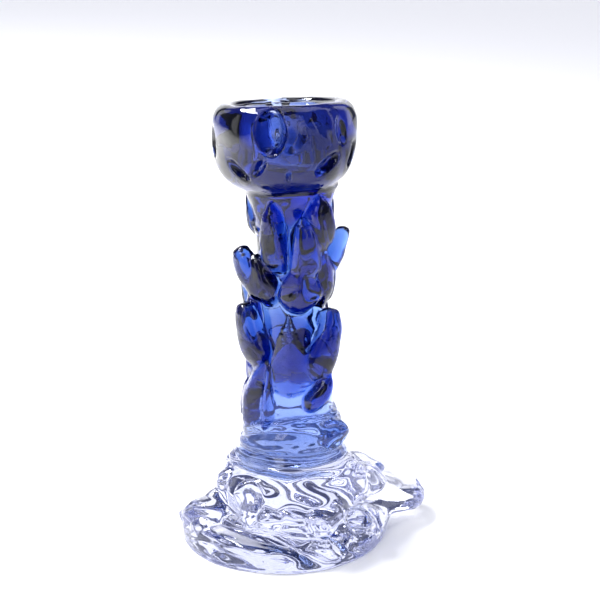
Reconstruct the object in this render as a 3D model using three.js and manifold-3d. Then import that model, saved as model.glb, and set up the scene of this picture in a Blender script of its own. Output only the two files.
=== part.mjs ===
// Hot-assembled glass candlestick, in millimetres, +Z up.
// Origin: on the stem's axis, in the plane the foot rests on. -Y is the front.
//
// A thick cobalt-blue cup with a candle well sits on a short collar and a solid blue stem.
// The stem is covered with separately gathered bits of blue glass: leaves with a swollen
// root and a pulled point, and fingers with round tips. Below them are a wrapped hem, a knot
// and a paler skirt, set in a foot of clear glass: a poured puddle, a mound on top of it, and
// clear lobes, drips and drops. Every bit is a solid of its own, fused where it meets the
// next one, so fused neighbours face each other across GAP.
import * as THREE from "three";
import { mergeVertices } from "three/addons/utils/BufferGeometryUtils.js";
import Module from "manifold-3d";

const wasm = await Module();
wasm.setup();

// ---- driving dimensions ----
const GAP = 0.32; // between the faces of fused neighbours
const RIM_Z = 199.4; // crest of the cup's rim, before the cup is tilted
const CUP_TILT = 2.2; // degrees, the +X side of the rim stands higher
const CUP_LEAN = 2; // degrees, the front of the rim stands higher
const CUP_X = -2.2; // the cup sits a little off the stem's axis
const CUP_BOTTOM_Z = 160.2;
const WELL_RADIUS = 13; // candle well, straight part
const WELL_FLOOR_Z = 174;
const WELL_MOUTH_RADIUS = 18.6;
const BARREL_BOTTOM_Z = 49.6; // the stem's paler lower gather stands on the skirt
const BARREL_TOP_Z = 82; // and the darker core stands on it
const CORE_TOP_Z = 149;
const HEM_BOTTOM_Z = 49.4;
const SKIRT_BOTTOM_Z = 31; // the blue skirt ends in a bowl sunk into the clear mound
const MOUND_BOTTOM_Z = 16.4;
const PUDDLE_THICKNESS = 16; // at the middle; it slopes down to its rounded rim

// Outer profiles as [radius, height].
const CUP_PROFILE = [
  [0, CUP_BOTTOM_Z], [14, 160.8], [20, 162.6], [24.4, 165.6], [27.8, 169.8], [30, 174.8], [31.2, 180.4], [31.5, 186.4],
  [31, 192.4], [29.4, 197], [26.4, RIM_Z], [22.6, 199.2], [19.4, 197.8], [0, 197.4],
];
const WELL_PROFILE = [
  [0, WELL_FLOOR_Z], [WELL_RADIUS - 0.8, WELL_FLOOR_Z], [WELL_RADIUS, 176],
  [WELL_RADIUS + 0.2, 190], [15, 194.5], [WELL_MOUTH_RADIUS, 198.4], [22, 206], [0, 206],
];
const BARREL_SIDE = [[16.6, BARREL_BOTTOM_Z], [17.6, 56], [18.6, 61], [18.8, 68], [17.8, 78], [17.3, BARREL_TOP_Z]];
const CORE_SIDE = [[17.2, BARREL_TOP_Z + GAP], [16.4, 88], [15.4, 100], [15, 118], [14.9, 136], [14.8, CORE_TOP_Z]];
const BARREL_PROFILE = [[0, BARREL_BOTTOM_Z], ...BARREL_SIDE, [0, BARREL_TOP_Z]];
const CORE_PROFILE = [[0, BARREL_TOP_Z + GAP], ...CORE_SIDE, [0, CORE_TOP_Z]];
const SHAFT_PROFILE = [[0, BARREL_BOTTOM_Z], ...BARREL_SIDE, ...CORE_SIDE, [0, CORE_TOP_Z]]; // both of them
const COLLAR_PROFILE = [
  [0, 146], [15.6, 146], [15.9, 149], [16.8, 153], [18.4, 157], [19.6, 161], [19, 165], [0, 165],
];
const HEM_PROFILE = [
  [17.2, HEM_BOTTOM_Z], [20.4, HEM_BOTTOM_Z], [21.8, 51.6], [21.6, 55.4], [20.6, 58.8], [19.2, 61], [18.2, 60.2],
  [17.2, HEM_BOTTOM_Z],
];
const SKIRT_PROFILE = [
  [0, SKIRT_BOTTOM_Z], [9, 31.6], [16, 34.4], [21.4, 38.4], [25, 42.6], [24.2, 44.8], [23, 47], [21.6, 49], [0, 49],
];
const MOUND_PROFILE = [
  [0, MOUND_BOTTOM_Z], [31.2, MOUND_BOTTOM_Z], [32.4, 20], [32.8, 24.5], [31.4, 29], [28.8, 33.6], [26.8, 38], [26, 41.6],
  [0, 41.6],
];
// The puddle's outline: [azimuth in degrees from the front towards +X, radius].
const PUDDLE_OUTLINE = [
  [-180, 44], [-150, 45], [-125, 50], [-108, 52.4], [-90, 50], [-76, 47.4], [-56, 45.8], [-41, 45.4], [-17, 42.6],
  [0, 42], [20, 40.6], [45, 38.9], [73, 39.6], [92, 42.6], [107, 46.5], [122, 52], [140, 49], [160, 45.5], [180, 44],
];
// The collar's lower edge swings down between the upper leaves: [azimuth, drop in mm].
const COLLAR_EDGE = [
  [-180, 0], [-140, 3], [-106, -4], [-70, 2.5], [-48, 3], [-25, -5.5], [5, 3], [38, -7], [72, 3], [114, -4], [150, 3], [180, -3],
];
// Presses in the cup's wall: azimuth, height, half width, half height, turn, depth.
const CUP_PRESSES = [
  [-10, 189.4, 5.9, 8.4, 0, 7.5],
  [-44, 172.8, 2.9, 6.8, 50, 3.4],
  [-22, 174.2, 2.2, 5.2, -46, 2.8],
  [36, 174.6, 3, 7, -54, 4.6],
  [2.5, 169.8, 1.7, 2, 0, 2],
  [50, 188, 4, 6.4, 14, 2.2],
  [72, 177, 3.6, 6.2, -30, 3],
  [-82, 184, 4.6, 7.2, 10, 2.8],
  [112, 186, 5.4, 7.2, 20, 3.8],
  [152, 174.6, 3.2, 7, 48, 3.8],
  [-172, 189, 5.8, 7.6, 0, 6],
  [-138, 174.4, 3, 7.2, -48, 3.6],
];

// ---- the bits on the stem ----
// Name, shape, then root, middle and tip as [azimuth, distance from the axis, height],
// then half the width and half the thickness where the section is fullest. Earlier bits
// were laid on first, and later ones stop at them.
const STEM_BITS = [
  ["leaf_mid_front", "leaf", [16, 13.2, 114], [13, 18, 122], [9, 21.6, 135], 9.8, 7.2],
  ["flame_front", "leaf", [-1, 13.6, 71], [-1, 18, 87], [-2.5, 21.6, 111.5], 11.2, 5.4],
  ["leaf_upper_left", "petal", [-20, 13.4, 129], [-24, 18, 142.5], [-25, 20.8, 158.5], 6, 6.4],
  ["leaf_upper_right", "petal", [46, 14, 136], [41, 18.4, 149], [34, 21.4, 161], 7.2, 6.2],
  ["leaf_upper_centre", "petal", [23, 13.6, 125], [18, 18.4, 138.5], [13, 20.6, 152.8], 6.8, 6.6],
  ["finger_right_high", "finger", [82, 12.4, 126], [84, 18.4, 133], [83, 23.4, 145.8], 5.5, 5.2],
  ["finger_left_high", "finger", [-32, 13.4, 117.5], [-54, 19.4, 124.5], [-66, 24.2, 138.5], 7.4, 6.4],
  ["finger_right_small", "finger", [104, 13, 110], [103, 16.4, 117.5], [100, 18, 129], 3.8, 3.4],
  ["leaf_mid_left", "petal", [-34, 13.2, 115], [-40, 18.4, 124.5], [-47, 21, 136], 5.4, 5.6],
  ["leaf_mid_right", "leaf", [62, 13.2, 112], [54, 16.9, 128], [34, 18.8, 149], 6.6, 4.6],
  ["leaf_left_mid", "leaf", [-72, 13.2, 102], [-74, 16.2, 112], [-72, 17.6, 124], 5.4, 4.2],
  ["leaf_upper_back_left", "leaf", [-108, 13.6, 141], [-108, 17, 151], [-106, 20.4, 161.5], 5.8, 4.4],
  ["leaf_upper_back_right", "leaf", [116, 13.8, 139], [115, 16.8, 149], [114, 19.6, 159.5], 5.8, 4.4],
  ["finger_left_low", "finger", [-46, 14, 84], [-61, 19.2, 97.5], [-66, 22, 113.2], 7.2, 6.6],
  ["leaf_left_low", "leaf", [-95, 13.6, 69], [-96, 16.8, 80], [-96, 19.4, 95], 5.6, 4.4],
  ["finger_right_low", "finger", [22, 14.2, 80], [46, 19.8, 91.5], [58, 20.4, 111.5], 8, 6.6],
  ["leaf_base_left", "leaf", [-72, 15.8, 55], [-57, 19.2, 72.5], [-27, 21.4, 90], 7.6, 5.6],
  ["thorn_base_right", "petal", [24, 16.2, 68.5], [38, 20.4, 73.5], [48, 22.4, 83], 5, 5.2],
  ["ridge_base_left", "leaf", [-33, 16.6, 55.5], [-30, 20.2, 70], [-26, 21.6, 88], 3.4, 4.2],
  ["shoulder_left", "finger", [-98, 17.6, 58.5], [-88, 18.8, 65.5], [-76, 18.2, 76], 5.6, 4.4],
  ["leaf_upper_back", "leaf", [182, 13.6, 136], [179, 17.4, 147.5], [176, 19.8, 160.5], 7.4, 4.8],
  ["finger_back_high", "finger", [-150, 12.8, 123], [-150, 19.4, 130], [-151, 23.6, 143], 5.4, 4.8],
  ["leaf_mid_back", "leaf", [163, 13.2, 114], [167, 17.8, 122.5], [170, 21.4, 135.5], 9, 6.6],
  ["leaf_mid_back_right", "leaf", [138, 13.2, 97], [140, 18, 107], [142, 22, 121], 7, 5.2],
  ["finger_back_left", "finger", [-114, 13, 101], [-115, 18.4, 109], [-115, 22, 122], 5.4, 4.8],
  ["flame_back", "leaf", [-176, 13.6, 73], [-177, 18, 88], [-178, 21.6, 110.5], 9.6, 5.4],
  ["finger_back_right", "finger", [114, 13.6, 79], [117, 18.8, 89.5], [119, 20.8, 104], 5.8, 5],
  ["leaf_low_back_left", "leaf", [-140, 14.8, 67], [-140, 18.4, 79], [-140, 21.4, 95], 7, 5],
  ["leaf_low_back_right", "leaf", [146, 16.6, 61], [149, 19, 70.5], [151, 21, 84], 6.6, 4.8],
];

// ---- the clear bits on the foot: centre, half sizes, then turns in degrees about X, Y, Z ----
const FOOT_BITS = [
  ["foot_tongue_right", [42, 28.5, 10.4], [22.5, 17, 10.4], [0, 0, 30]],
  ["foot_knob_left", [-25.6, -4, 31.2], [7.6, 7.6, 7.2], [0, -20, 0]],
  ["foot_lobe_left", [-35.2, -6, 14], [10, 13, 10], [0, -10, -14]],
  ["foot_drip_front_left", [-18.4, -28.5, 27.5], [5.2, 5.8, 12], [14, 0, -6]],
  ["foot_drop_front", [-9.6, -31.5, 21.6], [5.4, 5.2, 4.8], [10, 0, 0]],
  ["foot_drop_front_right", [16, -29.6, 21.8], [8.8, 6.6, 6.2], [10, 0, 14]],
  ["foot_drop_right", [29.4, -21.5, 17.6], [6.8, 5.8, 5.4], [10, 8, 36]],
  ["foot_lobe_back_right", [30, 16, 23.5], [11.5, 11.5, 10.5], [0, 10, 0]],
  ["foot_lobe_back", [-2, 33, 15], [14, 10, 11], [-12, 0, 0]],
  ["foot_lobe_back_left", [-20, 26, 15.5], [11, 10.5, 9.6], [0, -10, -30]],
];
const KNOT = [[17.6, -11.5, 54], [9, 6, 6.6], [0, 0, 52]];

// ---- materials ----
const glass = (colour) =>
  new THREE.MeshStandardMaterial({ color: colour, roughness: 0.04, metalness: 0 });
const COBALT = glass(0x2743b4);
const PALE_BLUE = glass(0x86a0e4);
const CLEAR = glass(0xdfe3f2);

// ---- helpers ----
const rad = THREE.MathUtils.degToRad;
const polar = ([azimuth, r, z]) =>
  new THREE.Vector3(r * Math.sin(rad(azimuth)), -r * Math.cos(rad(azimuth)), z);
const azimuthOf = (v) => THREE.MathUtils.radToDeg(Math.atan2(v.x, -v.y));
const smooth = (t) => t * t * (3 - 2 * t);

// A table of [azimuth, value] read at one azimuth, eased between its entries.
function around(table, azimuth) {
  for (let i = 1; i < table.length; i++) {
    const [a0, v0] = table[i - 1],
      [a1, v1] = table[i];
    if (azimuth <= a1) return v0 + (v1 - v0) * smooth((azimuth - a0) / (a1 - a0));
  }
  return table[table.length - 1][1];
}

// A closed geometry as a manifold-3d solid: shared vertices merged, collapsed triangles dropped.
function solid(geometry) {
  const g = geometry.clone();
  for (const name of Object.keys(g.attributes))
    if (name !== "position") g.deleteAttribute(name);
  const merged = mergeVertices(g, 1e-4);
  const kept = [];
  for (let i = 0; i < merged.index.count; i += 3) {
    const [a, b, c] = [0, 1, 2].map((k) => merged.index.getX(i + k));
    if (a !== b && b !== c && c !== a) kept.push(a, b, c);
  }
  const make = (triVerts) =>
    new wasm.Manifold(
      new wasm.Mesh({
        numProp: 3,
        vertProperties: new Float32Array(merged.attributes.position.array),
        triVerts: new Uint32Array(triVerts),
      }),
    );
  const made = make(kept);
  if (made.volume() > 0) return made;
  const turnedOut = [];
  for (let i = 0; i < kept.length; i += 3) turnedOut.push(kept[i], kept[i + 2], kept[i + 1]);
  return make(turnedOut);
}

// A turned geometry, standing along +Z.
const turned = (profile, segments) =>
  new THREE.LatheGeometry(
    profile.map(([r, z]) => new THREE.Vector2(r, z)),
    segments,
  ).rotateX(Math.PI / 2);

// A profile pushed outwards by a distance, for the clearance cut in a neighbour.
function swollen(profile, by) {
  return profile.map(([r, z], i) => {
    const [r0, z0] = profile[Math.max(i - 1, 0)],
      [r1, z1] = profile[Math.min(i + 1, profile.length - 1)];
    const length = Math.hypot(r1 - r0, z1 - z0) || 1;
    const nr = (z1 - z0) / length,
      nz = -(r1 - r0) / length;
    const end = i === 0 ? [0, -1] : i === profile.length - 1 ? [0, 1] : [nr, nz];
    return r === 0 ? [0, z + end[1] * by * 1.25] : [r + Math.max(end[0], 0.55) * by * 1.25, z + end[1] * by * 1.25];
  });
}

function warp(geometry, change) {
  const p = geometry.attributes.position,
    v = new THREE.Vector3();
  for (let i = 0; i < p.count; i++) {
    v.fromBufferAttribute(p, i);
    change(v);
    p.setXYZ(i, v.x, v.y, v.z);
  }
  return geometry;
}

// How full a bit's section is, from its root (0) to its tip (1).
const FULLNESS = {
  petal: [[0, 0], [0.07, 0.7], [0.26, 1], [0.5, 0.93], [0.72, 0.72], [0.9, 0.42], [1, 0]],
  leaf: [[0, 0], [0.07, 0.7], [0.26, 1], [0.48, 0.84], [0.68, 0.56], [0.88, 0.28], [1, 0]],
  finger: [[0, 0], [0.08, 0.7], [0.3, 1], [0.58, 0.9], [0.82, 0.72], [0.955, 0.44], [1, 0]],
};
const BIT_SEGMENTS = 8;

// A bit: sections along a bent centreline, wide across the stem and thinner away from it.
function bitGeometry([, shape, root, middle, tip, halfWidth, halfThickness], grow = 0) {
  const [a, b, c] = [polar(root), polar(middle), polar(tip)];
  const line = new THREE.QuadraticBezierCurve3(
    a,
    b.clone().multiplyScalar(2).addScaledVector(a, -0.5).addScaledVector(c, -0.5),
    c,
  );
  const rows = FULLNESS[shape].map(([t, f]) => new THREE.Vector2(f, t));
  return warp(new THREE.LatheGeometry(rows, BIT_SEGMENTS), (v) => {
    const [sideways, t, outwards] = [v.x, v.y, v.z];
    const full = Math.hypot(sideways, outwards);
    const at = line.getPoint(t),
      along = line.getTangent(t).normalize();
    const out = new THREE.Vector3(at.x, at.y, 0).normalize();
    const across = new THREE.Vector3().crossVectors(along, out).normalize();
    const away = new THREE.Vector3().crossVectors(across, along).normalize();
    const swell = full > 0 ? grow / full : 0;
    v.copy(at)
      .addScaledVector(across, sideways * (halfWidth + swell))
      .addScaledVector(away, outwards * (halfThickness + swell))
      .addScaledVector(along, full > 0.6 ? 0 : (t < 0.5 ? -1 : 1) * grow * 1.6);
  });
}

// A rounded lump from its centre, half sizes and turns.
function lump([centre, half, turns], grow = 0, segments = 14, rows = 9) {
  return new THREE.SphereGeometry(1, segments, rows)
    .rotateX(Math.PI / 2)
    .scale(...half.map((h) => h + grow * 1.25))
    .rotateX(rad(turns[0]))
    .rotateY(rad(turns[1]))
    .rotateZ(rad(turns[2]))
    .translate(...centre);
}

// The largest body left after the cuts.
function largest(made) {
  const bodies = made.decompose();
  return bodies.reduce((best, body) => (body.volume() > best.volume() ? body : best), bodies[0]);
}

const group = new THREE.Group();
group.name = "glass_candlestick";

function add(name, made, material) {
  const one = largest(made),
    mesh = one.getMesh();
  const geometry = new THREE.BufferGeometry();
  const count = mesh.vertProperties.length / mesh.numProp,
    positions = new Float32Array(count * 3);
  for (let i = 0; i < count; i++)
    for (let k = 0; k < 3; k++) positions[i * 3 + k] = mesh.vertProperties[i * mesh.numProp + k];
  geometry.setAttribute("position", new THREE.BufferAttribute(positions, 3));
  geometry.setIndex(Array.from(mesh.triVerts));
  geometry.computeVertexNormals();
  const piece = new THREE.Mesh(geometry, material);
  piece.name = name;
  group.add(piece);
  return one;
}

// ---- the cup ----
// Thumb and tool presses: a rounded hollow pushed towards the cup's axis.
function pressed(v) {
  const azimuth = azimuthOf(v),
    r = Math.hypot(v.x, v.y);
  if (r < 8) return;
  let depth = 0;
  for (const [a, z, halfWidth, halfHeight, turn, deep] of CUP_PRESSES) {
    const side = rad(((azimuth - a + 540) % 360) - 180) * 31,
      up = v.z - z;
    const u = side * Math.cos(rad(turn)) + up * Math.sin(rad(turn)),
      w = -side * Math.sin(rad(turn)) + up * Math.cos(rad(turn));
    const near = (u / (halfWidth * 1.5)) ** 2 + (w / (halfHeight * 1.3)) ** 2;
    if (near < 1) depth += deep * (1 - near) ** 1.5;
  }
  const wave = 0.5 * Math.sin(3 * rad(azimuth) + 0.8) + 0.35 * Math.sin(5 * rad(azimuth) + v.z * 0.06);
  const scale = (r - depth + wave * Math.min(1, (r - 8) / 14)) / r;
  v.x *= scale;
  v.y *= scale;
}
const placeCup = (geometry) =>
  geometry.translate(0, 0, -178).rotateX(rad(-CUP_LEAN)).rotateY(rad(-CUP_TILT)).translate(CUP_X, 0, 178);
const cupRows = new THREE.CatmullRomCurve3(CUP_PROFILE.map(([r, z]) => new THREE.Vector3(r, 0, z)), false, "catmullrom", 0.3);
const cupProfile = [];
for (let i = 0; i <= 34; i++) {
  const p = cupRows.getPoint(i / 34);
  cupProfile.push([i === 0 || i === 34 ? 0 : Math.max(p.x, 0.5), p.z]);
}
const well = solid(turned(WELL_PROFILE, 40).translate(CUP_X, 0, 0));
const cup = solid(placeCup(warp(turned(cupProfile, 80), pressed))).subtract(well);
const cupClearance = solid(placeCup(turned(swollen(CUP_PROFILE, GAP + 0.75), 44)));

// ---- stem core, collar, hem, knot, skirt ----
const barrel = solid(turned(BARREL_PROFILE, 28));
const core = solid(turned(CORE_PROFILE, 28));
const coreClearance = solid(turned(swollen(SHAFT_PROFILE, GAP), 28));
const shapeCollar = (geometry) =>
  warp(geometry, (v) => {
    const drop = around(COLLAR_EDGE, azimuthOf(v));
    const low = THREE.MathUtils.clamp((157 - v.z) / 11, 0, 1);
    v.z -= Math.min(drop, 4) * low;
  });
const collar = solid(shapeCollar(turned(COLLAR_PROFILE, 32))).subtract(coreClearance).subtract(cupClearance);
const collarClearance = solid(shapeCollar(turned(swollen(COLLAR_PROFILE, GAP), 32)));

// The hem is a wrap that climbs towards +X.
const shapeHem = (geometry) =>
  warp(geometry, (v) => {
    const a = rad(azimuthOf(v)),
      high = THREE.MathUtils.clamp((v.z - HEM_BOTTOM_Z) / 8, 0, 1);
    v.z += high * (2.2 * Math.sin(a + 0.35) + 0.9 * Math.sin(3 * a + 1.2));
  });
const hem = solid(shapeHem(turned(HEM_PROFILE, 30))).subtract(coreClearance);
const hemClearance = solid(shapeHem(turned(swollen(HEM_PROFILE, GAP).map(([r, z], i, all) => (i === 0 || i === all.length - 1 ? [12, HEM_BOTTOM_Z - GAP] : i === all.length - 2 ? [12, z] : [r, z])), 30)));
const skirt = solid(turned(SKIRT_PROFILE, 30));
const skirtClearance = solid(turned(swollen(SKIRT_PROFILE, GAP), 30));
const knot = solid(lump(KNOT, 0, 12, 8)).subtract(hemClearance).subtract(coreClearance).subtract(skirtClearance);
const knotClearance = solid(lump(KNOT, GAP, 12, 8));

// ---- the foot ----
const shapePuddle = (geometry, by = 0) =>
  warp(geometry, (v) => {
    const k = around(PUDDLE_OUTLINE, azimuthOf(v)) + by;
    v.x *= k;
    v.y *= k;
  });
const PUDDLE_PROFILE = [
  [0, 0], [0.93, 0], [0.98, 1.5], [1, 3.6], [0.985, 6.4], [0.93, 9.2], [0.85, 11.4], [0.755, 13.8], [0.67, PUDDLE_THICKNESS],
  [0, PUDDLE_THICKNESS],
];
const PUDDLE_CLEARANCE = [
  [0, -1], [0.97, -1], [1, 1.5], [1.012, 3.6], [0.998, 6.6], [0.943, 9.5], [0.862, 11.7], [0.765, 14.1],
  [0.675, PUDDLE_THICKNESS + GAP], [0, PUDDLE_THICKNESS + GAP],
];
const puddle = solid(shapePuddle(turned(PUDDLE_PROFILE, 40)));
const puddleClearance = solid(shapePuddle(turned(PUDDLE_CLEARANCE, 40)));
const shapeMound = (geometry) =>
  warp(geometry, (v) => {
    const a = rad(azimuthOf(v)),
      r = Math.hypot(v.x, v.y);
    if (r < 20) return;
    const k = 1 + 0.03 * Math.sin(2 * a + 0.6) + 0.025 * Math.sin(5 * a + v.z * 0.2) + 0.018 * Math.sin(9 * a + v.z * 0.35);
    v.x *= k;
    v.y *= k;
  });
const mound = solid(shapeMound(turned(MOUND_PROFILE, 36))).subtract(puddleClearance).subtract(skirtClearance);
const moundClearance = solid(shapeMound(turned(swollen(MOUND_PROFILE, GAP), 36)));

add("cup", cup, COBALT);
add("collar", collar, COBALT);
add("stem_core", core, COBALT);
add("stem_barrel", barrel, COBALT);
const laid = [];
for (const bit of STEM_BITS) {
  let made = solid(bitGeometry(bit))
    .subtract(coreClearance)
    .subtract(collarClearance)
    .subtract(cupClearance)
    .subtract(hemClearance)
    .subtract(knotClearance);
  for (const earlier of laid) made = made.subtract(earlier);
  add(bit[0], made, COBALT);
  laid.push(solid(bitGeometry(bit, GAP)));
}
add("stem_hem", hem, PALE_BLUE);
add("hem_knot", knot, PALE_BLUE);
add("stem_skirt", skirt, PALE_BLUE);
add("foot_mound", mound, CLEAR);
add("foot_puddle", puddle, CLEAR);
const set = [];
for (const [name, ...shape] of FOOT_BITS) {
  let made = solid(lump(shape))
    .subtract(moundClearance)
    .subtract(puddleClearance)
    .subtract(skirtClearance);
  for (const earlier of set) made = made.subtract(earlier);
  add(name, made, CLEAR);
  set.push(solid(lump(shape, GAP)));
}

export default group;
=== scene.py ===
"""Looks of the hot-assembled glass candlestick, in Blender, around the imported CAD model.

The real thing is many bits of glass laid on while hot, so they are fused: the outside is one
fire-polished surface, and inside there is no boundary to see. Each bit is still its own piece
here. All the bits' distance fields are blended on one grid, each grid point belongs to the bit
it lies deepest in, and each bit gets a closed mesh: its share of the common outer surface, plus
seam faces against its neighbours. Seam faces carry the attribute "fused", and the glass doesn't
bend or reflect light there, so colour builds up with depth but no seam shows.

Everything below is in millimetres until a mesh is made, and in metres after that.
"""

import math

import bpy
import numpy as np
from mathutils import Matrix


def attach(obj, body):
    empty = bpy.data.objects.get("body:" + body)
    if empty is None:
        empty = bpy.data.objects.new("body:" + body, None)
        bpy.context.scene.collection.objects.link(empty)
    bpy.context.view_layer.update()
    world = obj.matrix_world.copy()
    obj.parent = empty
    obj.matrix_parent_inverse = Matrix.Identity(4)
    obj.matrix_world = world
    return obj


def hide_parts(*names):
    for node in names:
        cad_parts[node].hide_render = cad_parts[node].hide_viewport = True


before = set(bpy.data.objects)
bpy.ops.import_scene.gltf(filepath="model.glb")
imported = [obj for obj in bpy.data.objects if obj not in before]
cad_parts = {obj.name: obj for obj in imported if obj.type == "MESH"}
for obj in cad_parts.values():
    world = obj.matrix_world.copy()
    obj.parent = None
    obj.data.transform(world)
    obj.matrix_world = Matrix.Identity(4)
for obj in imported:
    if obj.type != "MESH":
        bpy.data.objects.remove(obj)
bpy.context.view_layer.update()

# ------------------------------------------------------------------ dimensions

STEP = 0.7  # grid spacing
BLEND = 0.6  # how far neighbouring bits have flowed into each other
SEAM = 0.012  # half the gap between two bits' seam faces

CUP_X, CUP_TILT, CUP_LEAN = -2.2, math.radians(2.2), math.radians(2.0)
WELL_R, WELL_FLOOR, WELL_MOUTH = 13.0, 174.0, 18.6

CUP = [(0, 160.2), (14, 160.8), (20, 162.6), (24.4, 165.6), (27.8, 169.8), (30, 174.8), (31.2, 180.4), (31.5, 186.4),
       (31, 192.4), (29.4, 197), (26.4, 199.4), (22.6, 199.2), (19.4, 197.8), (0, 197.4)]
WELL = [(0, WELL_FLOOR), (WELL_R - 0.8, WELL_FLOOR), (WELL_R, 176), (WELL_R + 0.2, 190), (15, 194.5),
        (WELL_MOUTH, 198.4), (22, 206), (0, 206)]
CORE = [(0, 76), (18.0, 78), (16.4, 88), (15.4, 100), (15, 118), (14.9, 136), (14.8, 149), (0, 150)]
BARREL = [(0, 48), (16.6, 48), (17.8, 56), (18.7, 61), (18.9, 68), (18.0, 78), (17.2, 83), (0, 83)]
COLLAR = [(0, 146), (15.6, 146), (15.9, 149), (16.8, 153), (18.4, 157), (19.6, 161), (19, 165), (0, 165)]
HEM = [(0, 49), (20.6, 49), (21.8, 51.6), (21.6, 55.4), (20.6, 59), (18.6, 61.4), (0, 61.6)]
SKIRT = [(0, 31), (9, 31.6), (16, 34.4), (21.4, 38.4), (25.2, 42.6), (24.2, 44.8), (23.0, 47), (21.8, 49.4), (0, 49.4)]
MOUND = [(0, 16), (31.4, 16), (32.6, 20), (33.0, 24.5), (31.6, 29), (28.8, 33.6), (26.6, 38), (25.3, 42.4), (0, 42.4)]
PUDDLE = [(0, -4), (42, -4), (42.6, 1), (43, 3.6), (42.4, 6.4), (40, 9.2), (36.4, 11.4), (32.4, 13.8), (28.6, 16.4), (0, 17)]
PUDDLE_OUTLINE = [(-180, 44), (-150, 45), (-125, 50), (-108, 52.4), (-90, 50), (-76, 47.4), (-56, 45.8), (-41, 45.4),
                  (-17, 42.6), (0, 42), (20, 40.6), (45, 38.9), (73, 39.6), (92, 42.6), (107, 46.5), (122, 52),
                  (140, 49), (160, 45.5), (180, 44)]
COLLAR_EDGE = [(-180, 0), (-140, 3), (-106, -4), (-70, 2.5), (-48, 3), (-25, -5.5), (5, 3), (38, -7), (72, 3),
               (114, -4), (150, 3), (180, -3)]
# Tool presses in the cup: azimuth, height, half width, half height, turn, depth, softness of the edge.
CUP_PRESSES = [
    (-10, 189.4, 5.9, 8.4, 0, 12.0, 0.4), (-11, 183.6, 4.6, 4.6, 0, 2.0, 0.9), (6, 187.5, 6.0, 7.6, -12, 1.7, 0.7),
    (-44, 172.8, 2.9, 6.8, 50, 3.4, 0.7), (-22, 174.2, 2.2, 5.2, -46, 2.8, 0.7), (36, 174.6, 3.0, 7.0, -54, 4.6, 0.6),
    (2.5, 169.8, 1.7, 2.0, 0, 2.0, 0.8), (50, 188, 4.0, 6.4, 14, 2.2, 0.8), (72, 177, 3.6, 6.2, -30, 3.0, 0.7),
    (-82, 184, 4.6, 7.2, 10, 2.8, 0.8), (112, 186, 5.4, 7.2, 20, 3.8, 0.6), (152, 174.6, 3.2, 7.0, 48, 3.8, 0.7),
    (-172, 189, 5.8, 7.6, 0, 6.0, 0.45), (-138, 174.4, 3.0, 7.2, -48, 3.6, 0.7),
]
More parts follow.
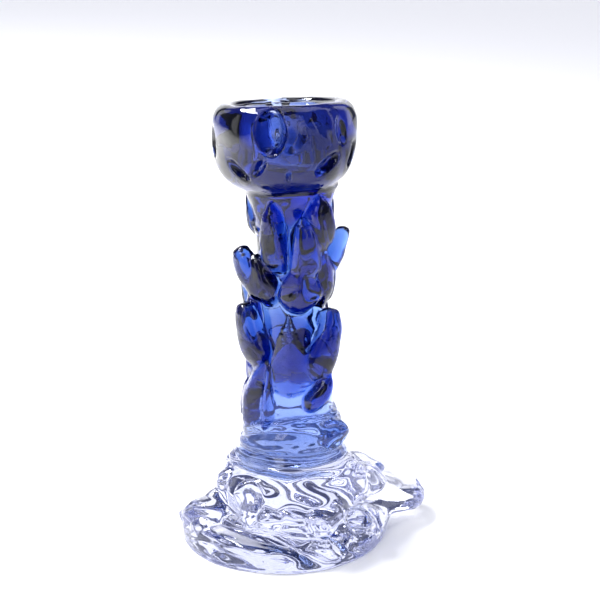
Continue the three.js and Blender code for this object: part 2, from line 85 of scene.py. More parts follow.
# The bits on the stem: CAD node, shape, then root, middle and tip as (azimuth from the front
# towards +X, distance from the axis, height), half width, half thickness, squareness of section.
STEM_BITS = [
    ("leaf_mid_front", "leaf", (16, 13.2, 114), (13, 18.0, 122), (9, 21.6, 135), 9.8, 7.2, 1.7),
    ("flame_front", "leaf", (-1, 13.6, 71), (-1, 18.0, 87), (-2.5, 21.6, 111.5), 11.2, 5.4, 1.3),
    ("leaf_upper_left", "petal", (-20, 13.4, 129), (-24, 18.0, 142.5), (-25, 20.8, 158.5), 6.0, 6.4, 2.9),
    ("leaf_upper_right", "petal", (46, 14.0, 136), (41, 18.4, 149), (34, 21.4, 161), 7.2, 6.2, 2.8),
    ("leaf_upper_centre", "petal", (23, 13.6, 125), (18, 18.4, 138.5), (13, 20.6, 152.8), 6.8, 6.6, 2.7),
    ("finger_right_high", "finger", (82, 12.4, 126), (84, 18.4, 133), (83, 23.4, 145.8), 5.5, 5.2, 2),
    ("finger_left_high", "finger", (-32, 13.4, 117.5), (-54, 19.4, 124.5), (-66, 24.2, 138.5), 7.4, 6.4, 2),
    ("finger_right_small", "finger", (104, 13.0, 110), (103, 16.4, 117.5), (100, 18.0, 129), 3.8, 3.4, 2),
    ("leaf_mid_left", "petal", (-34, 13.2, 115), (-40, 18.4, 124.5), (-47, 21.0, 136), 5.4, 5.6, 2.4),
    ("leaf_mid_right", "leaf", (62, 13.2, 112), (54, 16.9, 128), (34, 18.8, 149), 6.6, 4.6, 2),
    ("leaf_left_mid", "leaf", (-72, 13.2, 102), (-74, 16.2, 112), (-72, 17.6, 124), 5.4, 4.2, 2),
    ("leaf_upper_back_left", "leaf", (-108, 13.6, 141), (-108, 17.0, 151), (-106, 20.4, 161.5), 5.8, 4.4, 2),
    ("leaf_upper_back_right", "leaf", (116, 13.8, 139), (115, 16.8, 149), (114, 19.6, 159.5), 5.8, 4.4, 2),
    ("finger_left_low", "finger", (-46, 14.0, 84), (-61, 19.2, 97.5), (-66, 22.0, 113.2), 7.2, 6.6, 2.4),
    ("leaf_left_low", "leaf", (-95, 13.6, 69), (-96, 16.8, 80), (-96, 19.4, 95), 5.6, 4.4, 1.8),
    ("finger_right_low", "finger", (22, 14.2, 80), (46, 19.8, 91.5), (58, 20.4, 111.5), 8.0, 6.6, 1.9),
    ("leaf_base_left", "leaf", (-72, 15.8, 55), (-57, 19.2, 72.5), (-27, 21.4, 90), 7.6, 5.6, 1.5),
    ("thorn_base_right", "petal", (24, 16.2, 68.5), (38, 20.4, 73.5), (48, 22.4, 83), 5.0, 5.2, 2.0),
    ("ridge_base_left", "leaf", (-33, 16.6, 55.5), (-30, 20.2, 70), (-26, 21.6, 88), 3.4, 4.2, 1.4),
    ("shoulder_left", "finger", (-98, 17.6, 58.5), (-88, 18.8, 65.5), (-76, 18.2, 76), 5.6, 4.4, 2),
    ("leaf_upper_back", "leaf", (182, 13.6, 136), (179, 17.4, 147.5), (176, 19.8, 160.5), 7.4, 4.8, 2),
    ("finger_back_high", "finger", (-150, 12.8, 123), (-150, 19.4, 130), (-151, 23.6, 143), 5.4, 4.8, 2),
    ("leaf_mid_back", "leaf", (163, 13.2, 114), (167, 17.8, 122.5), (170, 21.4, 135.5), 9.0, 6.6, 1.7),
    ("leaf_mid_back_right", "leaf", (138, 13.2, 97), (140, 18.0, 107), (142, 22.0, 121), 7.0, 5.2, 1.8),
    ("finger_back_left", "finger", (-114, 13.0, 101), (-115, 18.4, 109), (-115, 22.0, 122), 5.4, 4.8, 2),
    ("flame_back", "leaf", (-176, 13.6, 73), (-177, 18.0, 88), (-178, 21.6, 110.5), 9.6, 5.4, 1.3),
    ("finger_back_right", "finger", (114, 13.6, 79), (117, 18.8, 89.5), (119, 20.8, 104), 5.8, 5.0, 2),
    ("leaf_low_back_left", "leaf", (-140, 14.8, 67), (-140, 18.4, 79), (-140, 21.4, 95), 7.0, 5.0, 1.8),
    ("leaf_low_back_right", "leaf", (146, 16.6, 61), (149, 19.0, 70.5), (151, 21.0, 84), 6.6, 4.8, 1.8),
]
# Bits patted flat on both sides of a ridge: a point of the ridge, lean, half angle, lower end.
FACETS = {
    "leaf_mid_front": ((11, 24.4, 119), 0.17, 34, 117.5),
    "leaf_mid_back": ((168, 24.0, 119), 0.17, 34, 117.5),
    "flame_back": ((-177, 22.6, 90), 0.09, 40, 84),
}
# The clear bits on the foot: centre, half sizes, turns about X, Y and Z.
FOOT_BITS = [
    ("foot_tongue_right", (42, 28.5, 10.4), (22.5, 17, 10.4), (0, 0, 30)),
    ("foot_knob_left", (-25.6, -4, 31.2), (7.6, 7.6, 7.2), (0, -20, 0)),
    ("foot_lobe_left", (-35.2, -6, 14), (10, 13, 10), (0, -10, -14)),
    ("foot_drip_front_left", (-18.4, -28.5, 27.5), (5.2, 5.8, 12), (14, 0, -6)),
    ("foot_drop_front", (-9.6, -31.5, 21.6), (5.4, 5.2, 4.8), (10, 0, 0)),
    ("foot_drop_front_right", (16.0, -29.6, 21.8), (8.8, 6.6, 6.2), (10, 0, 14)),
    ("foot_drop_right", (29.4, -21.5, 17.6), (6.8, 5.8, 5.4), (10, 8, 36)),
    ("foot_lobe_back_right", (30, 16, 23.5), (11.5, 11.5, 10.5), (0, 10, 0)),
    ("foot_lobe_back", (-2, 33, 15), (14, 10, 11), (-12, 0, 0)),
    ("foot_lobe_back_left", (-20, 26, 15.5), (11, 10.5, 9.6), (0, -10, -30)),
]
KNOT = ((17.6, -11.5, 54), (9, 6, 6.6), (0, 0, 52))

# ------------------------------------------------------------------ the grid

LOW = np.array([-56.0, -50.0, -2.0 * STEP])
HIGH = np.array([68.0, 54.0, 205.0])
COUNT = np.ceil((HIGH - LOW) / STEP).astype(int) + 1
AXIS = [(LOW[a] + STEP * np.arange(COUNT[a])).astype(np.float32) for a in range(3)]
AXIS[2] = (STEP * (np.arange(COUNT[2]) - 2)).astype(np.float32)  # a layer lies exactly at z = 0
total = np.zeros(COUNT, np.float32)  # sum of exp(-distance / BLEND)
deepest = np.full(COUNT, 1e3, np.float32)
owner = np.zeros(COUNT, np.uint8)
PIECES = [""]  # piece names by label; 0 is air


def window(low, high, margin=5.0):
    """The grid's slices that hold a box, and their coordinates."""
    cut, grids = [], []
    for a in range(3):
        i = max(int((low[a] - margin - AXIS[a][0]) / STEP), 0)
        j = min(int((high[a] + margin - AXIS[a][0]) / STEP) + 2, COUNT[a])
        cut.append(slice(i, j))
        grids.append(AXIS[a][i:j])
    return tuple(cut), np.meshgrid(*grids, indexing="ij", sparse=True)


def lay(name, low, high, distance, blend=BLEND):
    """Adds a bit: distance(x, y, z) is evaluated around its box."""
    if name not in PIECES:
        PIECES.append(name)
    label = PIECES.index(name)
    cut, (x, y, z) = window(low, high)
    d = distance(x, y, z).astype(np.float32)
    total[cut] += np.exp(np.clip(-d / BLEND, -30, 60))
    part = deepest[cut]
    nearer = d < part
    part[nearer] = d[nearer]
    owner[cut][nearer] = label


def eased(points, per=5):
    """A Catmull-Rom line through profile points, ends kept."""
    p = np.array(points, float)
    q = np.vstack([2 * p[0] - p[1], p, 2 * p[-1] - p[-2]])
    out = []
    for i in range(1, len(q) - 2):
        for t in np.arange(per) / per:
            a, b, c, d = q[i - 1], q[i], q[i + 1], q[i + 2]
            s = 0.5  # a little tighter than full Catmull-Rom
            m1, m2 = s * (c - a), s * (d - b)
            out.append((2 * t**3 - 3 * t**2 + 1) * b + (t**3 - 2 * t**2 + t) * m1
                       + (-2 * t**3 + 3 * t**2) * c + (t**3 - t**2) * m2)
    out.append(p[-1])
    return np.array(out)


class Profile:
    """Signed distance to a turned profile, tabled over radius and height."""

    def __init__(self, points, smooth=True, pitch=0.3, reach=10.0):
        p = eased(points) if smooth else np.array(points, float)
        p[:, 0] = np.maximum(p[:, 0], 0)
        loop = np.vstack([p, p[::-1] * [-1, 1]])
        self.pitch, self.z0 = pitch, p[:, 1].min() - reach
        r = np.arange(0, p[:, 0].max() + reach, pitch)
        z = np.arange(self.z0, p[:, 1].max() + reach, pitch)
        R, Z = np.meshgrid(r, z, indexing="ij")
        best = np.full(R.shape, 1e9)
        inside = np.zeros(R.shape, bool)
        for a, b in zip(loop, np.roll(loop, -1, axis=0)):
            e = b - a
            n = e @ e
            if n < 1e-12:
                continue
            t = np.clip(((R - a[0]) * e[0] + (Z - a[1]) * e[1]) / n, 0, 1)
            best = np.minimum(best, (R - a[0] - t * e[0]) ** 2 + (Z - a[1] - t * e[1]) ** 2)
            crosses = (a[1] > Z) != (b[1] > Z)
            if e[1] != 0:
                inside ^= crosses & (R < a[0] + (Z - a[1]) * e[0] / e[1])
        self.table = (np.sqrt(best) * np.where(inside, -1, 1)).astype(np.float32)

    def __call__(self, r, z):
        u = np.clip(r / self.pitch, 0, self.table.shape[0] - 1.001)
        v = np.clip((z - self.z0) / self.pitch, 0, self.table.shape[1] - 1.001)
        i, j = u.astype(np.int32), v.astype(np.int32)
        u, v = u - i, v - j
        T = self.table
        return (T[i, j] * (1 - u) * (1 - v) + T[i + 1, j] * u * (1 - v)
                + T[i, j + 1] * (1 - u) * v + T[i + 1, j + 1] * u * v)


def around(table, azimuth):
    a, v = np.array(table, float).T
    fine = np.linspace(-180, 180, 721)
    k = np.interp(fine, a, v)
    for _ in range(12):  # round the corners
        k = (np.roll(k, 1) + 2 * k + np.roll(k, -1)) / 4
        k = (np.roll(k, 6) + 2 * k + np.roll(k, -6)) / 4
    return np.interp(azimuth, fine, k)


def azimuth(x, y):
    return np.degrees(np.arctan2(x, -y))


def polar(p):
    a = math.radians(p[0])
    return np.array([p[1] * math.sin(a), -p[1] * math.cos(a), p[2]])


def turn(turns):
    x, y, z = (math.radians(t) for t in turns)
    rx = np.array([[1, 0, 0], [0, math.cos(x), -math.sin(x)], [0, math.sin(x), math.cos(x)]])
    ry = np.array([[math.cos(y), 0, math.sin(y)], [0, 1, 0], [-math.sin(y), 0, math.cos(y)]])
    rz = np.array([[math.cos(z), -math.sin(z), 0], [math.sin(z), math.cos(z), 0], [0, 0, 1]])
    return rz @ ry @ rx


def ellipsoid(centre, half, turns=(0, 0, 0)):
    m = turn(turns)
    reach = np.sqrt(((m * np.array(half)) ** 2).sum(1))

    def distance(x, y, z):
        p = [x - centre[0], y - centre[1], z - centre[2]]
        q = [sum(m[k][c] * p[k] for k in range(3)) for c in range(3)]
        k0 = np.sqrt(sum((q[c] / half[c]) ** 2 for c in range(3)))
        k1 = np.sqrt(sum((q[c] / half[c] ** 2) ** 2 for c in range(3)))
        return k0 * (k0 - 1) / np.maximum(k1, 1e-6)

    return np.array(centre) - reach, np.array(centre) + reach, distance


FULLNESS = {
    "petal": [(0, 0.35), (0.08, 0.72), (0.26, 1), (0.5, 0.94), (0.72, 0.76), (0.88, 0.52), (1, 0.26)],
    "leaf": [(0, 0.35), (0.08, 0.72), (0.26, 1), (0.48, 0.86), (0.68, 0.6), (0.86, 0.34), (1, 0.14)],
    "finger": [(0, 0.35), (0.1, 0.74), (0.3, 1), (0.58, 0.9), (0.82, 0.76), (1, 0.6)],
}


def bit(shape, root, middle, tip, half_width, half_thick, square, samples=22):
    """A gathered bit pulled along a bent line: a chain of close, flattened ellipsoids."""
    a, b, c = polar(root), polar(middle), polar(tip)
    b = 2 * b - (a + c) / 2
    full_t, full_v = np.array(FULLNESS[shape]).T
    rows = []
    length = np.linalg.norm(c - a)
    for t in np.linspace(0, 1, samples):
        at = (1 - t) ** 2 * a + 2 * t * (1 - t) * b + t * t * c
        along = 2 * (1 - t) * (b - a) + 2 * t * (c - b)
        along /= np.linalg.norm(along)
        out = np.array([at[0], at[1], 0])
        out /= np.linalg.norm(out)
        across = np.cross(along, out)
        across /= np.linalg.norm(across)
        away = np.cross(across, along)
        f = float(np.interp(t, full_t, full_v))
        w, h = half_width * f, half_thick * (f if shape == "finger" else f**0.85)
        step = max(min(w, h) * 0.9, 1.9 * length / samples)
        room = step * (0.75 if t > 0.8 else 1.0)
        if t > 0.85:  # end where the CAD bit ends
            at = at - along * room * (t - 0.85) / 0.15
        rows.append((at, across, away, along, w, h, room))
    pts = np.array([r[0] for r in rows])
    low, high = pts.min(0) - half_width, pts.max(0) + half_width

    def distance(x, y, z):
        best = None
        for at, across, away, along, w, h, s in rows:
            p = (x - at[0], y - at[1], z - at[2])
            u = sum(across[k] * p[k] for k in range(3)) / w
            v = sum(away[k] * p[k] for k in range(3)) / h
            q = sum(along[k] * p[k] for k in range(3)) / s
            if square == 2:
                flat2 = u * u + v * v
            else:
                flat2 = (np.abs(u) ** square + np.abs(v) ** square) ** (2 / square)
            k0 = np.sqrt(flat2 + q * q)
            k1 = np.sqrt((u / w) ** 2 + (v / h) ** 2 + (q / s) ** 2)
            d = k0 * (k0 - 1) / np.maximum(k1, 1e-6)
            best = d if best is None else np.minimum(best, d)
        return best

    return low, high, distance


def faceted(low, high, distance, at, lean, spread, foot):
    """Pats a bit flat on both sides of a ridge; below the height foot it stays round."""
    point, out = polar(at), polar((at[0], 1, 0))
    planes = []
    for s in (-spread, spread):
        n = polar((at[0] + s, 1, 0)) + np.array([0, 0, lean])
        planes.append(n / np.linalg.norm(n))

    def patted(x, y, z):
        d = distance(x, y, z)
        keep = 5.0 * np.clip((foot - z) / 2.2, 0, 1)
        for n in planes:
            p = n[0] * (x - point[0]) + n[1] * (y - point[1]) + n[2] * (z - point[2]) - keep
            d = np.maximum(d, p) + 0.25 * np.log1p(np.exp(-np.abs(d - p) / 0.25))
        return d

    return low, high, patted


def ripple(x, y, z, wavelength, seed, terms=7):
    """Smooth organic unevenness in about -1..1, the same every run."""
    rng = np.random.RandomState(seed)
    k = 2 * math.pi / wavelength
    wx = np.sin(0.41 * k * y + 0.33 * k * z + 1.7) * 0.35 * wavelength
    wy = np.sin(0.37 * k * z + 0.29 * k * x + 0.3) * 0.35 * wavelength
    out = 0
    for _ in range(terms):
        d = rng.normal(size=3)
        d *= k * rng.uniform(0.7, 1.35) / np.linalg.norm(d)
        out = out + np.sin(d[0] * (x + wx) + d[1] * (y + wy) + d[2] * z + rng.uniform(0, 6.28))
    return out / (0.5 * terms) ** 0.5 * 0.5


# ------------------------------------------------------------------ laying the glass

cup_sdf, well_sdf = Profile(CUP), Profile(WELL, smooth=False)


def into_cup(x, y, z):
    """World to the cup's own frame, undoing its tilt."""
    x, z = x - CUP_X, z - 178.0
    c, s = math.cos(CUP_TILT), math.sin(CUP_TILT)
    x, z = c * x + s * z, -s * x + c * z  # turn about Y
    c, s = math.cos(CUP_LEAN), math.sin(CUP_LEAN)
    y, z = c * y - s * z, s * y + c * z  # turn about X
    return x, y, z + 178.0


def cup_distance(x, y, z):
    x, y, z = into_cup(x, y, z)
    r = np.sqrt(x * x + y * y)
    az = azimuth(x, y)
    depth = 0.0
    for a, height, half_w, half_h, turned, deep, soft in CUP_PRESSES:
        side = np.radians((az - a + 540) % 360 - 180) * 31.0
        up = z - height
        c, s = math.cos(math.radians(turned)), math.sin(math.radians(turned))
        u, w = side * c + up * s, -side * s + up * c
        edge = np.sqrt((u / (half_w * 1.15)) ** 2 + (w / (half_h * 1.15)) ** 2)
        near = np.clip((1 - edge) / soft, 0, 1)
        depth = depth + deep * near * near * (3 - 2 * near)
    a = np.radians(az)
    wave = 0.5 * np.sin(3 * a + 0.8) + 0.35 * np.sin(5 * a + z * 0.06)
    return cup_sdf(r + (depth - wave) * np.clip((r - 8) / 14, 0, 1), z)


def turned(profile, warp=None, smooth=True):
    sdf = Profile(profile, smooth)
    p = np.array(profile)
    top = p[:, 0].max() + 3

    def distance(x, y, z):
        r = np.sqrt(x * x + y * y)
        if warp:
            r, z = warp(azimuth(x, y), r, z + 0 * r)
        return sdf(r, z)

    return (-top, -top, p[:, 1].min()), (top, top, p[:, 1].max()), distance


def collar_warp(az, r, z):
    drop = np.minimum(around(COLLAR_EDGE, az), 4)
    low = np.clip((157 - z) / 11, 0, 1)
    return r, z + drop * low


def hem_warp(az, r, z):
    a = np.radians(az)
    lift = 2.2 * np.sin(a + 0.35) + 0.9 * np.sin(3 * a + 1.2)  # the wrap climbs towards +X
    return r - 0.35 * np.sin(3 * a + 2), z - lift * np.clip((z - 49) / 8, 0, 1)


def puddle_warp(az, r, z):
    return np.maximum(r - (around(PUDDLE_OUTLINE, az) - 43), 0), z


def mound_warp(az, r, z):
    a = np.radians(az)
    k = 1 + 0.03 * np.sin(2 * a + 0.6) + 0.025 * np.sin(5 * a + z * 0.2) + 0.018 * np.sin(9 * a + z * 0.35)
    return r / k, z


lay("cup", (-38, -36, 158), (34, 36, 203), cup_distance)
lay("collar", *turned(COLLAR, collar_warp))
lay("stem_core", *turned(CORE))
lay("stem_barrel", *turned(BARREL))
for name, *shape in STEM_BITS:
    made = bit(*shape)
    if name in FACETS:
        made = faceted(*made, *FACETS[name])
    lay(name, *made)
lay("stem_hem", *turned(HEM, hem_warp))
lay("hem_knot", *ellipsoid(*KNOT))
low, high, skirt = turned(SKIRT)
lay("stem_skirt", low, high, skirt)
low, high, mound = turned(MOUND, mound_warp)
lay("foot_mound", low, high, lambda x, y, z: np.maximum(mound(x, y, z), -skirt(x, y, z)))
low, high, puddle = turned(PUDDLE, puddle_warp)
lay("foot_puddle", (-56, -50, 0), (56, 54, 18), puddle)
for name, *shape in FOOT_BITS:
    lay(name, *ellipsoid(*shape))

field = (-BLEND * np.log(total + 1e-12)).astype(np.float32)
del total, deepest

# Unevenness of hand-worked glass: broad and strong in the foot, faint on the blue glass.
near = np.nonzero(np.abs(field) < 4.0)
px, py, pz = (AXIS[a][near[a]] for a in range(3))
radius = np.hypot(px, py)
in_foot = np.clip((43 - pz) / 7, 0, 1)
in_stem = np.clip((pz - 44) / 5, 0, 1) * np.clip((163 - pz) / 4, 0, 1)
lumps = np.clip((pz - 3) / 7, 0, 1) * in_foot * np.clip((radius - 20) / 6, 0, 1)
slope_side = np.clip((17.5 - pz) / 2, 0, 1) * np.clip((pz - 7) / 3, 0, 1) * np.clip((radius - 27) / 4, 0, 1)
streaks = np.sin(2.1 * radius + 2.6 * ripple(px, py, pz, 24, 31)) * (0.55 + 0.6 * ripple(px, py, pz, 13, 32))


hemmed = np.clip((pz - 47.5) / 2, 0, 1) * np.clip((62.5 - pz) / 2, 0, 1)


def billow_of(x, y, z, wavelength, seed):
    """Rounded swells that meet in creases, about 0..1."""
    return np.sqrt(ripple(x, y, z, wavelength, seed) ** 2 + 0.004)


def billow(wavelength, seed):
    return billow_of(px, py, pz, wavelength, seed)

uneven = (
    lumps * (1.9 - 3.8 * billow(38, 3) - 2.2 * billow(24, 5))
    + slope_side * 0.2 * streaks
    + hemmed * (0.4 - 2.0 * billow_of(px, py, pz * 1.3 - 0.4 * px, 27, 51) - 0.5 * billow_of(px, py, pz * 1.5 - 0.4 * px, 14, 52))
    + in_foot * 0.2 * ripple(px, py, pz * 1.4, 17, 8)
    + in_stem * (0.35 * ripple(px, py, pz, 15, 11) + 0.06 * ripple(px, py, pz, 7, 12))
    + np.clip((pz - 160) / 4, 0, 1) * (0.3 * ripple(px, py, pz, 19, 21) + 0.05 * ripple(px, py, pz, 9, 22))
)
field[near] += uneven.astype(np.float32)

# The candle well, cut vertically into the tilted cup, with a melted edge.
cut, (x, y, z) = window((-26, -24, 172), (22, 24, 205))
r = np.sqrt((x - CUP_X) ** 2 + y * y)
hollow = -well_sdf(r, z + 0 * r)
soft = 0.7
part = field[cut]
field[cut] = np.maximum(part, hollow) + soft * np.log1p(np.exp(-np.abs(part - hollow) / soft))
# The foot stands flat on its edge; its underside is slightly hollow and wavy, as poured.
fx, fy = np.meshgrid(AXIS[0], AXIS[1], indexing="ij")
hollow = np.clip((37 - np.hypot(fx, fy)) / 9, 0, 1) * (0.8 + 0.7 * ripple(fx, fy, 0 * fx, 20, 41))
field = np.maximum(field, np.maximum(hollow, 0)[:, :, None].astype(np.float32) - AXIS[2][None, None, :])
field[np.abs(field) < 1e-4] = 1e-4
label = np.where(field < 0, owner, 0).astype(np.uint8)
del owner

# ------------------------------------------------------------------ surfaces from the grid

nx, ny, nz = COUNT
flat = label.ravel()
value = field.ravel()
STRIDE = (ny * nz, nz, 1)
quads, sides = [], []
for a in range(3):
    b, c = (a + 1) % 3, (a + 2) % 3
    lo = [slice(1, n - 1) for n in COUNT]
    hi = list(lo)
    lo[a], hi[a] = slice(0, COUNT[a] - 1), slice(1, COUNT[a])
    differ = np.nonzero(label[tuple(lo)] != label[tuple(hi)])
    start = [differ[k] + (0 if k == a else 1) for k in range(3)]
    base = start[0] * STRIDE[0] + start[1] * STRIDE[1] + start[2]
    sb, sc = STRIDE[b], STRIDE[c]
    quads.append(np.stack([base - sb - sc, base - sc, base, base - sb], 1))
    sides.append(np.stack([flat[base], flat[base + STRIDE[a]]], 1))
quads, sides = np.concatenate(quads), np.concatenate(sides)
cells, quads = np.unique(quads, return_inverse=True)
quads = quads.reshape(-1, 4)

corner = np.array([[i, j, k] for i in (0, 1) for j in (0, 1) for k in (0, 1)])
corner_at = corner @ np.array(STRIDE)
labels8 = flat[cells[:, None] + corner_at]
values8 = value[cells[:, None] + corner_at].astype(np.float64)
origin = np.stack(np.unravel_index(cells, COUNT), 1).astype(np.float64)
sum_out, n_out = np.zeros((len(cells), 3)), np.zeros(len(cells))
sum_in, n_in = np.zeros((len(cells), 3)), np.zeros(len(cells))
for i in range(8):
    for j in range(i + 1, 8):
        if np.abs(corner[i] - corner[j]).sum() != 1:
            continue
        la, lb = labels8[:, i], labels8[:, j]
        outer = (la != lb) & ((la == 0) | (lb == 0))
        t = np.where(outer, values8[:, i] / np.where(outer, values8[:, i] - values8[:, j], 1), 0.5)
        at = corner[i] + t[:, None] * (corner[j] - corner[i])
        sum_out[outer] += at[outer]
        n_out[outer] += 1
        inner = (la != lb) & (la != 0) & (lb != 0)
        sum_in[inner] += at[inner]
        n_in[inner] += 1
on_air = n_out > 0
place = np.where(on_air[:, None], sum_out / np.maximum(n_out, 1)[:, None], sum_in / np.maximum(n_in, 1)[:, None])
point = origin + place  # in grid steps


def sample(array, p):
    p = np.clip(p, 1, np.array(COUNT) - 2.001)
    i = p.astype(np.int64)
    f = p - i
    at = i @ np.array(STRIDE)
    out = 0
    for c, off in zip(corner, corner_at):
        w = np.prod(np.where(c == 1, f, 1 - f), axis=1)
        out = out + w * array[at + off]
    return out


def slope(p, e=0.75):
    g = np.empty_like(p)
    for a in range(3):
        d = np.zeros(3)
        d[a] = e
        g[:, a] = sample(value, p + d) - sample(value, p - d)
    return g / (2 * e)


air = np.nonzero(on_air)[0]
for _ in range(3):
    p = point[air]
    g = slope(p)
    move = -sample(value, p)[:, None] * g / np.maximum((g * g).sum(1), 1e-3)[:, None]
    p = p + np.clip(move, -0.35, 0.35)
    point[air] = np.clip(p, origin[air] - 0.15, origin[air] + 1.15)
normal = np.zeros_like(point)
g = slope(point[air], 1.0)
normal[air] = g / np.maximum(np.linalg.norm(g, axis=1), 1e-9)[:, None]

# Seams inside the glass are relaxed, so that they are smooth sheets rather than stairs.
seam_quads = quads[(sides[:, 0] != 0) & (sides[:, 1] != 0)]
for _ in range(6):
    acc, n = np.zeros_like(point), np.zeros(len(point))
    for k in range(4):
        a, b = seam_quads[:, k], seam_quads[:, (k + 1) % 4]
        np.add.at(acc, a, point[b])
        np.add.at(acc, b, point[a])
        np.add.at(n, a, 1)
        np.add.at(n, b, 1)
    free = ~on_air & (n > 0)
    point[free] = 0.5 * point[free] + 0.5 * acc[free] / n[free][:, None]
world = point * STEP + np.array([AXIS[a][0] for a in range(3)])
floor_touch = on_air & (np.abs(world[:, 2]) < 0.12 * STEP)
world[floor_touch, 2] = 0.0
del labels8, values8, label, flat


def mesh_of(name, number):
    """One bit's closed mesh, in metres, with its seam faces marked."""
    forward, backward = sides[:, 0] == number, sides[:, 1] == number
    faces = np.concatenate([quads[forward], quads[backward][:, ::-1]])
    fused = np.concatenate([sides[forward, 1] != 0, sides[backward, 0] != 0])
    used, faces = np.unique(faces, return_inverse=True)
    faces = faces.reshape(-1, 4)
    p, n, airy = world[used].copy(), normal[used], on_air[used]
    tri = p[faces]
    face_n = np.cross(tri[:, 2] - tri[:, 0], tri[:, 3] - tri[:, 1])
    pull = np.zeros_like(p)
    for k in range(4):
        np.add.at(pull, faces[:, k], face_n)
    pull /= np.maximum(np.linalg.norm(pull, axis=1), 1e-9)[:, None]
    p[~airy] -= SEAM * pull[~airy]
    mesh = bpy.data.meshes.new(name)
    mesh.vertices.add(len(p))
    mesh.vertices.foreach_set("co", (p * 0.001).astype(np.float32).ravel())
    mesh.loops.add(faces.size)
    mesh.loops.foreach_set("vertex_index", faces.astype(np.int32).ravel())
    mesh.polygons.add(len(faces))
    mesh.polygons.foreach_set("loop_start", (4 * np.arange(len(faces))).astype(np.int32))
    mesh.update(calc_edges=True)
    mesh.attributes.new("fused", "FLOAT", "FACE").data.foreach_set("value", fused.astype(np.float32))
    face_n /= np.maximum(np.linalg.norm(face_n, axis=1), 1e-12)[:, None]
    loops = np.where(fused[:, None, None], face_n[:, None, :], n[faces])
    mesh.normals_split_custom_set(loops.reshape(-1, 3))
    return mesh


# ------------------------------------------------------------------ glass


def glass(name, tint, density, wave=0.0, wave_scale=400.0, base=(1, 1, 1, 1), rough=0.0):
    """Solid glass: colour builds up with depth, and the surface has faint tool waves."""
    m = bpy.data.materials.new(name)
    m.use_nodes = True
    nodes, links = m.node_tree.nodes, m.node_tree.links
    nodes.clear()
    out = nodes.new("ShaderNodeOutputMaterial")
    s = nodes.new("ShaderNodeBsdfPrincipled")
    s.inputs["Base Color"].default_value = base
    s.inputs["Transmission Weight"].default_value = 1.0
    fused = nodes.new("ShaderNodeAttribute")
    fused.attribute_name = "fused"
    bend = nodes.new("ShaderNodeMapRange")
    bend.inputs["To Min"].default_value = 1.5
    bend.inputs["To Max"].default_value = 1.0
    links.new(fused.outputs["Fac"], bend.inputs["Value"])
    links.new(bend.outputs[0], s.inputs["IOR"])
    links.new(s.outputs[0], out.inputs["Surface"])
    place = nodes.new("ShaderNodeTexCoord")
    noise = nodes.new("ShaderNodeTexNoise")
    noise.inputs["Scale"].default_value = wave_scale
    noise.inputs["Detail"].default_value = 2.0
    noise.inputs["Distortion"].default_value = 0.6
    links.new(place.outputs["Object"], noise.inputs["Vector"])
    bump = nodes.new("ShaderNodeBump")
    bump.inputs["Strength"].default_value = wave
    bump.inputs["Distance"].default_value = 0.0004
    links.new(noise.outputs["Fac"], bump.inputs["Height"])
    links.new(bump.outputs[0], s.inputs["Normal"])
    smear = nodes.new("ShaderNodeMapRange")
    smear.inputs["From Min"].default_value = 0.62
    smear.inputs["From Max"].default_value = 0.8
    smear.inputs["To Min"].default_value = rough
    smear.inputs["To Max"].default_value = rough + 0.03
    links.new(noise.outputs["Fac"], smear.inputs["Value"])
    links.new(smear.outputs[0], s.inputs["Roughness"])
    if density > 0:
        v = nodes.new("ShaderNodeVolumeAbsorption")
        v.inputs["Color"].default_value = (*tint, 1)
        v.inputs["Density"].default_value = density
        links.new(v.outputs[0], out.inputs["Volume"])
    return m


def absorb(r, g, b):
    """Absorption per metre as the colour and density of a Volume Absorption node."""
    d = max(r, g, b) * 1.06
    return (1 - r / d, 1 - g / d, 1 - b / d), d


GLASS = {
    "cup": glass("cobalt_cup", *absorb(128, 102, 45), wave=0.03),
    "core": glass("cobalt_core", *absorb(76, 54, 21), wave=0.03),
    "collar": glass("cobalt_collar", *absorb(150, 108, 32), wave=0.03),
    "bit": glass("cobalt_bit", *absorb(325, 228, 84), wave=0.03),
    "barrel": glass("cobalt_barrel", *absorb(46, 34, 10), wave=0.03),
    "hem": glass("pale_cobalt_hem", *absorb(28, 23, 13), wave=0.04),
    "knot": glass("cobalt_knot", *absorb(110, 76, 24), wave=0.03),
    "skirt": glass("pale_cobalt", *absorb(46, 37, 18), wave=0.04),
    "clear": glass("clear_foot", *absorb(6.6, 6.1, 2.8), wave=0.04, wave_scale=300),
}
KIND = {"cup": "cup", "collar": "collar", "stem_core": "core", "stem_barrel": "barrel", "stem_hem": "hem",
        "hem_knot": "knot", "stem_skirt": "skirt"}

nodes_in_cad = set(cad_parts)
for number, name in enumerate(PIECES):
    if number == 0:
        continue
    kind = KIND.get(name, "clear" if name.startswith("foot_") else "bit")
    piece = bpy.data.objects.new(name + "_glass", mesh_of(name + "_glass", number))
    bpy.context.scene.collection.objects.link(piece)
    piece.data.materials.append(GLASS[kind])
    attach(piece, "root")
    if name in nodes_in_cad:
        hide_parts(name)

# ------------------------------------------------------------------ stage, light and camera

scene = bpy.context.scene


def stage_mesh(name, vertices, faces):
    mesh = bpy.data.meshes.new(name)
    mesh.from_pydata(vertices, [], faces)
    o = bpy.data.objects.new(name, mesh)
    scene.collection.objects.link(o)
    return o


def math_node(kind, a, b=None, c=None):
    n = nodes.new("ShaderNodeMath")
    n.operation = kind
    for i, v in enumerate((a, b, c)):
        if v is None:
            continue
        if isinstance(v, (int, float)):
            n.inputs[i].default_value = v
        else:
            links.new(v, n.inputs[i])
    return n.outputs[0]


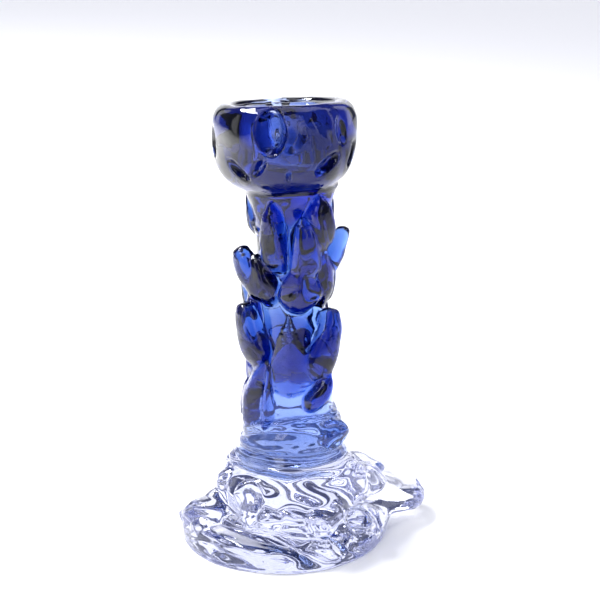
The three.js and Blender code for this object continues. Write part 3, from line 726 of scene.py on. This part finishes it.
def ramp(value, low, high):
    n = nodes.new("ShaderNodeMapRange")
    n.interpolation_type = "SMOOTHSTEP"
    links.new(value, n.inputs["Value"])
    n.inputs["From Min"].default_value = low
    n.inputs["From Max"].default_value = high
    return n.outputs[0]


def bearing(x, y):
    """Azimuth in degrees: 0 is straight behind the object (+Y), positive towards +X."""
    return math_node("MULTIPLY", math_node("ARCTAN2", x, y), 180 / math.pi)


def between(value, low, high, soft):
    return math_node("MULTIPLY", ramp(value, low - soft, low + soft), ramp(value, high + soft, high - soft))


# The floor is plain white paper.
W = 6.0
floor = stage_mesh("floor", [(-W, -W, 0), (W, -W, 0), (W, W, 0), (-W, W, 0)], [(0, 1, 2, 3)])
floor.location.z = -0.00005
m = bpy.data.materials.new("floor_paper")
m.use_nodes = True
p = m.node_tree.nodes["Principled BSDF"]
p.inputs["Roughness"].default_value = 0.9
p.inputs["Specular IOR Level"].default_value = 0.1
p.inputs["Base Color"].default_value = (0.93, 0.93, 0.93, 1)
floor.data.materials.append(m)

ROOM = (0.13, 0.14, 0.22)  # the dim room between the panels
world = bpy.data.worlds.new("studio")
scene.world = world
world.use_nodes = True
nodes, links = world.node_tree.nodes, world.node_tree.links
nodes.clear()
out = nodes.new("ShaderNodeOutputWorld")
back = nodes.new("ShaderNodeBackground")
room = nodes.new("ShaderNodeBackground")
room.inputs["Color"].default_value = (*ROOM, 1)
both = nodes.new("ShaderNodeAddShader")
links.new(back.outputs[0], both.inputs[0])
links.new(room.outputs[0], both.inputs[1])
links.new(both.outputs[0], out.inputs["Surface"])
coords = nodes.new("ShaderNodeTexCoord")
split = nodes.new("ShaderNodeSeparateXYZ")
links.new(coords.outputs["Generated"], split.inputs[0])
turn_az = bearing(split.outputs["X"], split.outputs["Y"])
height = math_node("MULTIPLY", math_node("ARCSINE", split.outputs["Z"]), 180 / math.pi)

PANELS = [  # azimuth from, to, elevation from, to, brightness
    (-28, 23, -12, 32, 1.35),  # the backdrop
    (-162, -138, 28, 58, 4.0),  # key softbox, front left and high
    (60, 84, 34, 60, 1.8),
    (-180, 180, 60, 95, 1.7),  # overhead
]
for turn in (-135, -90, -45, 45, 90, 135):  # strip panels, evenly spaced all round
    PANELS.append((turn - 6, turn + 6, -12, 32, 1.2))
PANELS += [(174, 180, -12, 32, 1.2), (-180, -174, -12, 32, 1.2)]  # the strip behind the camera
value_out = 0.0
for a0, a1, e0, e1, bright in PANELS:
    patch = math_node("MULTIPLY", between(turn_az, a0, a1, 2.5), between(height, e0, e1, 2.5))
    value_out = math_node("ADD", value_out, math_node("MULTIPLY", patch, bright))
path = nodes.new("ShaderNodeLightPath")
seen = nodes.new("ShaderNodeMix")
seen.data_type = "FLOAT"
links.new(path.outputs["Is Camera Ray"], seen.inputs[0])
links.new(value_out, seen.inputs[2])
seen.inputs[3].default_value = 1.0
links.new(seen.outputs[0], back.inputs["Strength"])
back.inputs["Color"].default_value = (1, 1, 1, 1)


def area(name, place, target, size, power):
    light = bpy.data.lights.new(name, "AREA")
    light.shape = "RECTANGLE"
    light.size, light.size_y = size
    light.energy = power
    o = bpy.data.objects.new(name, light)
    o.location = place
    d = np.array(target) - np.array(place)
    yaw = math.atan2(d[0], -d[1])
    o.rotation_euler = (math.acos(-d[2] / np.linalg.norm(d)), 0, yaw)
    scene.collection.objects.link(o)
    return o


area("key", (-1.0, 0.35, 1.6), (0.1, 0, 0.05), (1.2, 1.2), 122)

camera = bpy.data.cameras.new("camera")
camera.lens = 91.44
camera.sensor_width = 36
camera.clip_start, camera.clip_end = 0.05, 50
eye = bpy.data.objects.new("camera", camera)
eye.location = (0.004, -0.6551, 0.2693)
eye.rotation_euler = (math.radians(90 - 13.5), 0, 0)
scene.collection.objects.link(eye)
scene.camera = eye

scene.view_settings.view_transform = "Standard"
scene.cycles.max_bounces = 48
scene.cycles.transmission_bounces = 48
scene.cycles.transparent_max_bounces = 16
scene.cycles.glossy_bounces = 12
scene.cycles.diffuse_bounces = 4
scene.cycles.sample_clamp_indirect = 6.0
scene.cycles.caustics_refractive = True
scene.cycles.caustics_reflective = True
